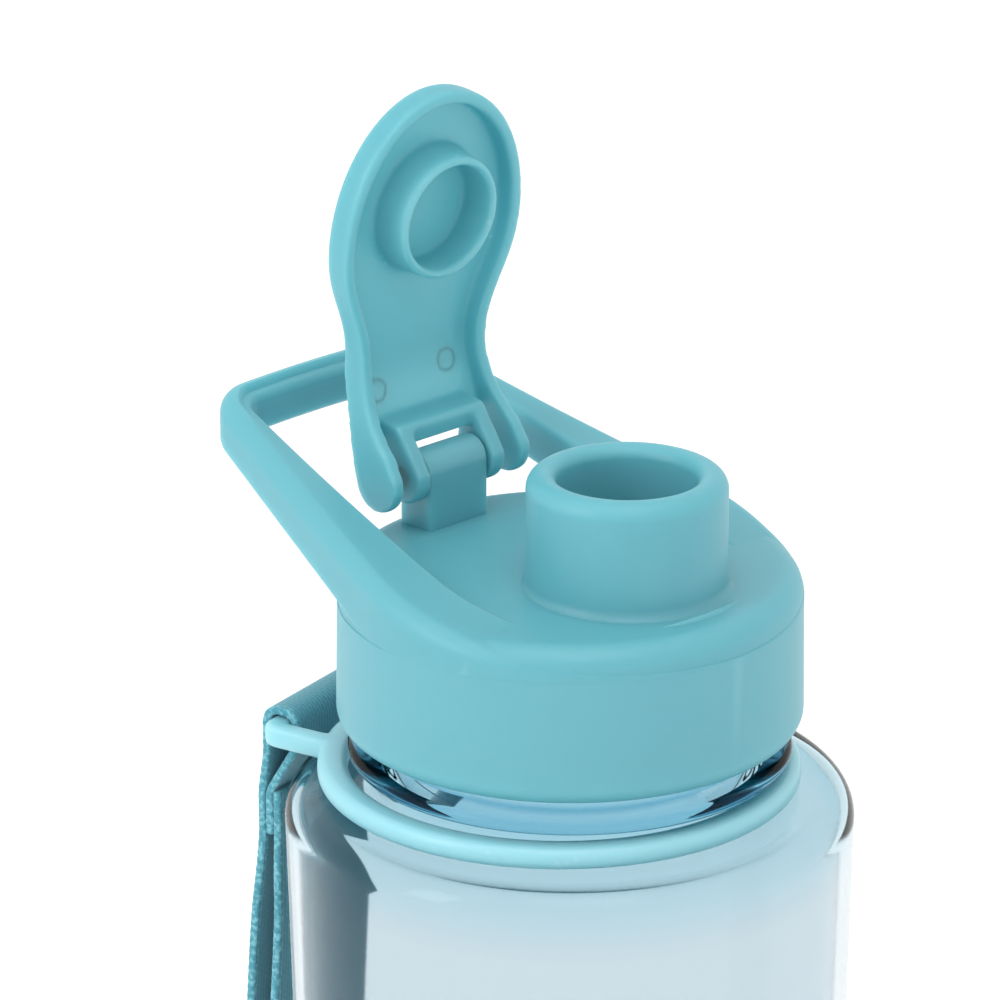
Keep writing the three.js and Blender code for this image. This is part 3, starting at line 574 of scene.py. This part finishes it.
def ease(x, low, high):
    t = min(1.0, max(0.0, (x - low) / (high - low)))
    return t * t * (3 - 2 * t)


def hang_at(z):
    share = min(1.0, max(0.0, (-z - overlap_end) / LEAN_LENGTH))
    return STRAP_OUT + STRAP_LEAN * sin(pi / 2 * share)


def open_at(z):
    gap = STRAP_THICK + (LOOP_OPEN - STRAP_THICK) * ease(-z, overlap_end, LOOP_PARTED)
    widen = ease(-z, STRAP_DROP - LOOP_FLARE, STRAP_DROP - LOOP_END)
    return gap / 2 * (1 - widen) + LOOP_END * widen


half_t = STRAP_THICK / 2
eye = TAB_BAR / 2 + STRAP_SLACK + half_t
eye_top = RING_THICK / 2 + STRAP_SLACK + half_t
fold_z = LOOP_END + STRAP_THICK - STRAP_DROP
heights = [-overlap_end + (fold_z + overlap_end) * i / 24 for i in range(25)]
route = [(STRAP_OUT, -overlap_end + 0.4), (STRAP_OUT, -EYE_DROP - 0.4), (-eye, -EYE_TURN)]
route += reversed(arc(EYE_ROUND - eye, eye_top - EYE_ROUND, EYE_ROUND, 90, 180, 4))
route += reversed(arc(eye - EYE_ROUND, eye_top - EYE_ROUND, EYE_ROUND, 0, 90, 4))
route += [(eye, -EYE_FLARE), (STRAP_OUT + STRAP_THICK, -EYE_DROP - 0.4)]
route += [(hang_at(z) + open_at(z) + half_t, z) for z in heights]
route += list(reversed(arc(hang_at(fold_z), fold_z, LOOP_END + half_t, -180, 0, 16)))[1:-1]
route += [(hang_at(z) - open_at(z) - half_t, z) for z in reversed(heights)]
route += [(STRAP_OUT - STRAP_THICK, -EYE_DROP - 0.2)]


def evenly(points, step):
    """Points every step along the line through points."""
    found, left = [Vector(points[0])], step
    for a, b in zip(points, points[1:]):
        a, b = Vector(a), Vector(b)
        length = (b - a).length
        spot = left
        while spot < length:
            found.append(a.lerp(b, spot / length))
            spot += step
        left = spot - length
    return found


ROW = 0.45
middle = evenly(route, ROW)
for _ in range(3):
    softer = [(a + 2 * b + c) / 4 for a, b, c in zip(middle, middle[1:], middle[2:])]
    middle = [middle[0], *softer, middle[-1]]
strap_length = sum((b - a).length for a, b in zip(middle, middle[1:]))
print("webbing is", round(strap_length, 1), "mm long")

# %% Strip, flat map and thickness
COLUMNS, EDGE_WAVE, PLY_GAP, WEBBING_ROUND = 20, 0.06, 0.1, 0.28
bar_y = TAB_REACH - TAB_BAR / 2
bar_z = RING_Z + RING_THICK / 2
points, faces, flat = [], [], []
for i, spot in enumerate(middle):
    for j in range(COLUMNS + 1):
        x = (j / COLUMNS - 0.5) * STRAP_WIDTH
        if j in (0, COLUMNS):
            x += (1 if j else -1) * EDGE_WAVE * sin(i * 2 * pi / 3)
        points.append(Vector((x, bar_y + spot.x, bar_z + spot.y)) * MM)
        flat.append((x * MM, i * ROW * MM))
for i in range(len(middle) - 1):
    for j in range(COLUMNS):
        a = i * (COLUMNS + 1) + j
        faces.append((a, a + 1, a + COLUMNS + 2, a + COLUMNS + 1))
mesh = bpy.data.meshes.new("webbing")
mesh.from_pydata(points, [], faces)
flat_map = mesh.uv_layers.new(name="flat")
for loop in mesh.loops:
    flat_map.data[loop.index].uv = flat[loop.vertex_index]
strap = bpy.data.objects.new("webbing_strap", mesh)
bpy.context.scene.collection.objects.link(strap)
mesh.transform(hang)
modify(strap, "SOLIDIFY", thickness=(STRAP_THICK - PLY_GAP) * MM, offset=0)
rounded(strap, WEBBING_ROUND, 2, 60)
smooth(strap, 70)

# %% [markdown]
# ## Bar tacks
# Two dense rows of stitches hold the three layers together. One stitch is a small rounded bead of
# thread, and it is copied side by side on both faces of the webbing.


# %% Stitches
STITCHES, STITCH_STEP, STITCH_TILT, TACK_INSET = 27, 0.54, 9, 1.7


def tack(name, z):
    bpy.ops.object.select_all(action="DESELECT")
    bpy.ops.mesh.primitive_uv_sphere_add(segments=8, ring_count=6, radius=MM)
    stitch = bpy.context.object
    stitch.data.transform(Matrix.Diagonal((0.30, 0.34, 0.85, 1)))
    made = []
    for face in (-1, 1):
        for i in range(STITCHES):
            copy = stitch.copy()
            copy.data = stitch.data.copy()
            bpy.context.scene.collection.objects.link(copy)
            out = bar_y + STRAP_OUT + face * 1.5 * STRAP_THICK
            spot = Vector(((i - STITCHES // 2) * STITCH_STEP, out, bar_z + z)) * MM
            tilt = Matrix.Rotation(radians(STITCH_TILT * face), 4, "Y")
            copy.data.transform(Matrix.Translation(spot) @ tilt)
            made.append(copy)
    bpy.data.objects.remove(stitch)
    piece = joined(name, *made)
    piece.data.transform(hang)
    take(piece)
    bpy.ops.object.shade_smooth()
    print(name, len(piece.data.polygons), "faces")
    return piece


tack_upper = tack("bar_tack_upper", -EYE_DROP - TACK_INSET)
tack_lower = tack("bar_tack_lower", TACK_INSET - overlap_end)

# %% [markdown]
# ## Finishes
# A shader is a small graph of nodes. Writing its sums as Python expressions keeps them readable: a
# Value wraps one socket, and adding or multiplying Values makes the Math nodes. Numbers that are the
# same all over a surface go straight on the shader. A few sockets can only be told apart by their
# place on the node, so those places get names.

# %% Writing shader sums as expressions
OBJECT_PLACE, POINTINESS = 3, 7
MIX_SHARE, MIX_FIRST, MIX_SECOND, MIX_RESULT = 0, 6, 7, 2


class Value:
    def __init__(self, finish, socket):
        self.finish, self.socket = finish, socket

    def sum(self, operation, *parts):
        return self.finish.node("ShaderNodeMath", {"operation": operation}, dict(enumerate(parts)))

    def __add__(self, other):
        return self.sum("ADD", self, other)

    def __radd__(self, other):
        return self.sum("ADD", other, self)

    def __sub__(self, other):
        return self.sum("SUBTRACT", self, other)

    def __rsub__(self, other):
        return self.sum("SUBTRACT", other, self)

    def __mul__(self, other):
        return self.sum("MULTIPLY", self, other)

    def wave(self, length):
        return self.sum("SINE", self * (2 * pi / length))

    def size(self):
        return self.sum("ABSOLUTE", self)

    def clipped(self):
        return self.sum("MINIMUM", self.sum("MAXIMUM", self, 0.0), 1.0)


class Finish:
    def __init__(self, name, **constants):
        self.material = bpy.data.materials.new(name)
        self.material.use_nodes = True
        self.tree = self.material.node_tree
        self.shader = self.tree.nodes["Principled BSDF"]
        for socket, value in constants.items():
            self.shader.inputs[socket.replace("_", " ")].default_value = value

    def node(self, kind, settings=None, inputs=None, output=0):
        made = self.tree.nodes.new(kind)
        for key, value in (settings or {}).items():
            setattr(made, key, value)
        for key, value in (inputs or {}).items():
            self.feed(made.inputs[key], value)
        return Value(self, made.outputs[output])

    def feed(self, socket, value):
        if isinstance(value, Value):
            self.tree.links.new(value.socket, socket)
        else:
            socket.default_value = value

    def set(self, **links):
        for socket, value in links.items():
            self.feed(self.shader.inputs[socket.replace("_", " ")], value)

    def noise(self, scale, detail=2.0, stretch=(1, 1, 1)):
        where = self.node("ShaderNodeTexCoord", output=OBJECT_PLACE)
        if stretch != (1, 1, 1):
            where = self.node("ShaderNodeMapping", inputs={"Vector": where, "Scale": stretch})
        return self.node("ShaderNodeTexNoise", inputs={"Vector": where, "Scale": scale, "Detail": detail})

    def blend(self, share, first, second):
        return self.node("ShaderNodeMix", {"data_type": "RGBA"},
                         {MIX_SHARE: share, MIX_FIRST: first, MIX_SECOND: second}, MIX_RESULT)

    def bump(self, height, distance, strength=1.0):
        relief = {"Height": height, "Distance": distance, "Strength": strength}
        self.set(Normal=self.node("ShaderNodeBump", inputs=relief))

    def dress(self, *pieces):
        for piece in pieces:
            piece.data.materials.clear()
            piece.data.materials.append(self.material)


def colour(red, green, blue):
    """An 8-bit screen colour as the linear colour that a shader uses."""
    return tuple((c / 255 / 12.92) if c <= 10 else ((c / 255 + 0.055) / 1.055) ** 2.4
                 for c in (red, green, blue)) + (1.0,)


# %% [markdown]
# ## Satin plastic
# Lid, cap and strap ring are polypropylene from moulds with a fine spark-eroded skin. They are neither
# dull nor glossy: light spreads softly over them, and some of it goes in and comes out again close
# by. The colour drifts a little where the plastic flowed, convex edges get a painted highlight in a
# paler colour, and faint hairlines come from handling.


# %% Satin plastic
def satin(name, base, pale, rough):
    finish = Finish(name, Specular_IOR_Level=0.55, Subsurface_Weight=0.65, Subsurface_Scale=0.007,
                    Subsurface_Radius=(0.8, 1.0, 1.0))
    drift = finish.noise(28.0, 3.0)
    # Painted highlight: convex edges, found by their pointiness, are painted in the paler colour.
    pointed = finish.node("ShaderNodeNewGeometry", output=POINTINESS)
    edge = ((pointed - 0.505) * 9.0).clipped() * 0.35
    shade = finish.blend(drift * 0.5, base, tuple(c * 0.93 for c in base[:3]) + (1.0,))
    finish.set(Base_Color=finish.blend(edge, shade, pale))
    hair = finish.noise(420.0, 1.0, (1, 1, 0.06))
    smear = finish.noise(70.0, 4.0)
    finish.set(Roughness=rough + (smear - 0.5) * 0.12 + (hair - 0.5) * 0.05)
    grain = finish.noise(5200.0, 2.0)
    finish.bump(grain * 0.6 + finish.noise(900.0, 2.0) * 0.4, 0.00002, 0.35)
    return finish


# The second colour of each finish is the painted highlight on convex edges.
lid_finish = satin("teal_satin", colour(94, 168, 180), colour(130, 190, 200), 0.44)
ring_finish = satin("pale_satin", colour(146, 208, 221), colour(170, 218, 228), 0.36)
lid_finish.dress(lid, cap)
ring_finish.dress(strap_ring)

# %% [markdown]
# ## Clear plastic
# A faintly blue, clear, glossy wall. It lets light through and bends it, so the walls look darker
# where they are seen edge on. Just below the shoulder the tint turns teal, which is a painted glow of
# the strap ring's light. The tint is strongest in the neck and its bead, where the plastic is
# thickest; on the bead the deeper blue is partly painted shade as well, for the dark lines that bent
# light draws there. Blown walls are never quite even, which a very weak and wide bump shows in the
# reflections, and fingers leave the gloss a little uneven.

# %% Clear plastic
clear = Finish("clear_blue", Transmission_Weight=1.0, IOR=1.2, Specular_IOR_Level=0.3)
place_on_wall = clear.node("ShaderNodeTexCoord", output=OBJECT_PLACE)
height = clear.node("ShaderNodeSeparateXYZ", inputs={0: place_on_wall}, output=2)
# Painted light: a teal glow of the strap ring is mixed into the tint just below the shoulder.
painted_ring_glow_share = ((height - (SHOULDER_Z - 10) * MM) * 90.0).clipped()
neck_share = ((height - (SHOULDER_Z + 0.2) * MM) * 500.0).clipped()
body_tint_and_ring_glow = clear.blend(painted_ring_glow_share, colour(219, 228, 232), colour(184, 218, 228))
# The bead's deeper blue is partly its thick tinted plastic and partly painted shade for the dark lines of
# bent light.
bead_tint_and_shade_share = (1.6 - (height - bead_z * MM).size() * 900.0).clipped()
neck_tint_and_bead_shade = clear.blend(bead_tint_and_shade_share, colour(170, 214, 228), colour(98, 170, 198))
clear.set(Base_Color=clear.blend(neck_share, body_tint_and_ring_glow, neck_tint_and_bead_shade))
clear.set(Roughness=0.03 + clear.noise(60.0, 3.0) * 0.05)
clear.bump(clear.noise(22.0, 1.0, (1, 1, 0.25)), 0.0006, 0.25)
clear.dress(bottle)

# %% [markdown]
# ## Webbing
# Polyester webbing shows fine cords that run along it, with the weft going over and under them. On
# the flat map, one wave across the width makes the cords, and a wave along the strap that changes
# sides from cord to cord makes the weft. The woven edges have pale specks, because the threads turn
# back there and catch the light.


# %% Webbing
CORD_STEP, WEFT_STEP, SELVEDGE = 0.62, 0.9, 1.1


def woven(name, base, light):
    finish = Finish(name, Roughness=0.85, Specular_IOR_Level=0.25, Sheen_Weight=0.35,
                    Sheen_Roughness=0.5)
    flat_at = finish.node("ShaderNodeUVMap", {"uv_map": "flat"})
    wide = finish.node("ShaderNodeSeparateXYZ", inputs={0: flat_at}, output=0)
    along = finish.node("ShaderNodeSeparateXYZ", inputs={0: flat_at}, output=1)
    cord = wide.wave(CORD_STEP * MM)
    weft = along.wave(WEFT_STEP * MM) * wide.wave(2 * CORD_STEP * MM)
    weave = cord * 0.35 + weft * 0.2 + 0.5
    fray = finish.noise(2600.0, 3.0)
    selvedge = ((wide.size() - (STRAP_WIDTH / 2 - SELVEDGE) * MM) * 1600.0).clipped()
    speck = ((finish.noise(1500.0, 2.0) - 0.45) * 5.0).clipped() * selvedge
    lighter = (weave * 0.3 + fray * 0.35 + speck * 0.8 - 0.15).clipped()
    finish.set(Base_Color=finish.blend(lighter, base, light))
    finish.bump(weave * 0.7 + fray * 0.3, 0.00010, 0.8)
    return finish


web_finish = woven("webbing_teal", colour(64, 142, 160), colour(128, 196, 208))
web_finish.dress(strap)
thread_finish = Finish("thread_teal", Roughness=0.7, Sheen_Weight=0.3)
twist = thread_finish.noise(3000.0, 2.0, (1, 1, 0.3))
thread_finish.set(Base_Color=thread_finish.blend(twist, colour(96, 170, 184), colour(140, 205, 214)))
thread_finish.bump(twist, 0.00008, 0.6)
thread_finish.dress(tack_upper, tack_lower)

# %% [markdown]
# ## Seal and pin
# These two stay as engineered pieces and only get a finish. The seal is milky silicone, the pin is
# drawn steel wire with fine lines along its length.

# %% Seal and pin
milky = Finish("milky_silicone", Subsurface_Weight=0.4, Subsurface_Scale=0.003)
milky.set(Base_Color=milky.blend(milky.noise(200.0), colour(232, 238, 238), colour(218, 228, 230)),
          Roughness=0.5 + milky.noise(300.0) * 0.2)
milky.bump(milky.noise(3000.0), 0.00002, 0.4)
wire = Finish("drawn_steel", Metallic=1.0)
lines = wire.noise(2500.0, 2.0, (0.02, 1, 1))
wire.set(Base_Color=wire.blend(lines, colour(170, 174, 178), colour(205, 208, 210)),
         Roughness=0.22 + lines * 0.2)
wire.bump(lines, 0.00001, 0.4)
for finish, name in ((milky, "lid_seal"), (wire, "hinge_pin")):
    for material_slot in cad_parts[name].material_slots:
        material_slot.material = finish.material

# %% [markdown]
# ## What moves with what
# Each new piece stands for one engineered piece and rides on its body, so that it moves as that
# piece does when the lid is unscrewed, the cap is shut or the strap swings.

# %% Ride and replace
for piece, body, node, material_slot in (
        (bottle, "bottle", "bottle_body", "clear_plastic"), (lid, "lid", "lid_shell", "teal_plastic"),
        (cap, "cap", "flip_cap", "teal_plastic"), (strap_ring, "ring", "strap_ring", "pale_plastic"),
        (strap, "strap", "wrist_strap", "webbing"), (tack_upper, "strap", "strap_tack_upper", "stitching"),
        (tack_lower, "strap", "strap_tack_lower", "stitching")):
    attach(piece, body)
    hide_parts(node)
strap_length * MM

# %% [markdown]
# ## Floor and light
# A pale floor and a white surround make the background. Most of the light comes from that surround,
# as in a light tent. Three broad lamps shape it: a tall one on the left that draws the long highlight
# down the lid, a wide one above the front and a wide one straight above.

# %% Floor
bpy.ops.object.select_all(action="DESELECT")
bpy.ops.mesh.primitive_plane_add(size=9.0, location=(1.5, 1.5, 0))
floor = bpy.context.object
floor.name = "floor"
paper = Finish("paper", Roughness=0.9, Specular_IOR_Level=0.1, Emission_Strength=0.15)
paper.set(Base_Color=paper.blend(paper.noise(3.0), colour(250, 250, 250), colour(246, 247, 248)))
paper.dress(floor)

# %% Lights
world = bpy.data.worlds.new("studio")
bpy.context.scene.world = world
world.use_nodes = True
surround = world.node_tree.nodes["Background"]
surround.inputs["Color"].default_value = (1.0, 1.0, 1.0, 1.0)
surround.inputs["Strength"].default_value = 0.92


def softbox(name, at, aim, size, power):
    data = bpy.data.lights.new(name, "AREA")
    data.shape, data.size, data.size_y, data.energy = "RECTANGLE", size[0], size[1], power
    lamp = bpy.data.objects.new(name, data)
    bpy.context.scene.collection.objects.link(lamp)
    lamp.location = at
    lamp.rotation_euler = (Vector(aim) - Vector(at)).to_track_quat("-Z", "Y").to_euler()


middle_of_lid = (0, 0, 0.2)
softbox("key_left", (-0.9, 0.2, 0.65), middle_of_lid, (0.3, 0.6), 2.7)
softbox("fill_front", (-0.35, -0.45, 1.1), middle_of_lid, (0.6, 0.4), 1.6)
softbox("top", (-0.15, -0.1, 1.2), middle_of_lid, (0.8, 0.6), 1.6)
bpy.context.scene.view_settings.view_transform = "Standard"
